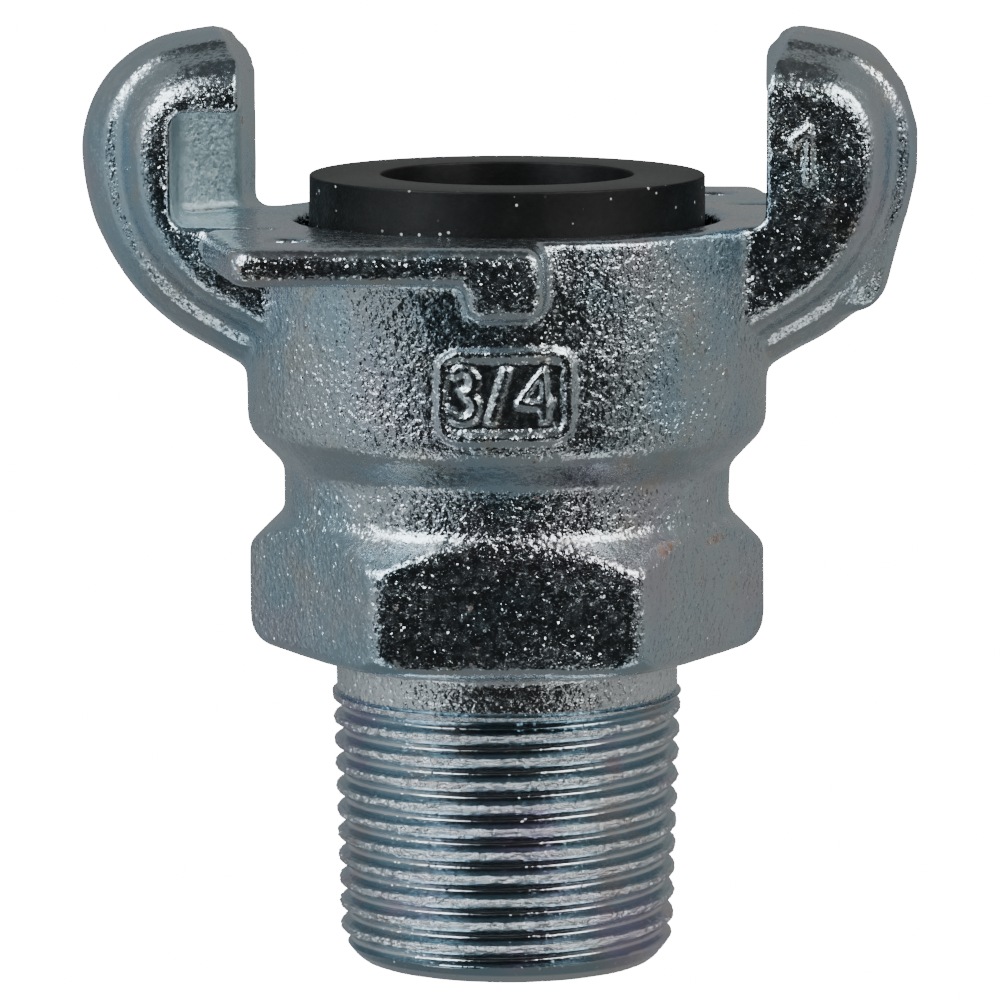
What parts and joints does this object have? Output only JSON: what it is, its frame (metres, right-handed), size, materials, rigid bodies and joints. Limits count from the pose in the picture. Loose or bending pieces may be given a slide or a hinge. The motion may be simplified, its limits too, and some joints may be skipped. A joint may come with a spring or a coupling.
{
  "type": "claw hose coupling",
  "caption": "Quarter-turn claw coupling for an air hose: claws and ledges on a round head with a rubber face seal, a hexagon and a male taper pipe thread.",
  "frame": {"origin": "centre of the end face of the pipe thread, on the axis of the passage", "axes": "+Z along the passage from the thread to the claws; X through the two claws, the one with the ground gate mark on +X; front ledge towards -Y"},
  "size_m": [0.0641, 0.05, 0.0724],
  "materials": {
    "zinc_plated_iron": "zinc plated, as cast and grainy, thread cut and smoother",
    "black_rubber": "matt moulded"
  },
  "bodies": {
    "root": {"coupling_body": "zinc_plated_iron", "sealing_washer": "black_rubber"}
  },
  "joints": []
}
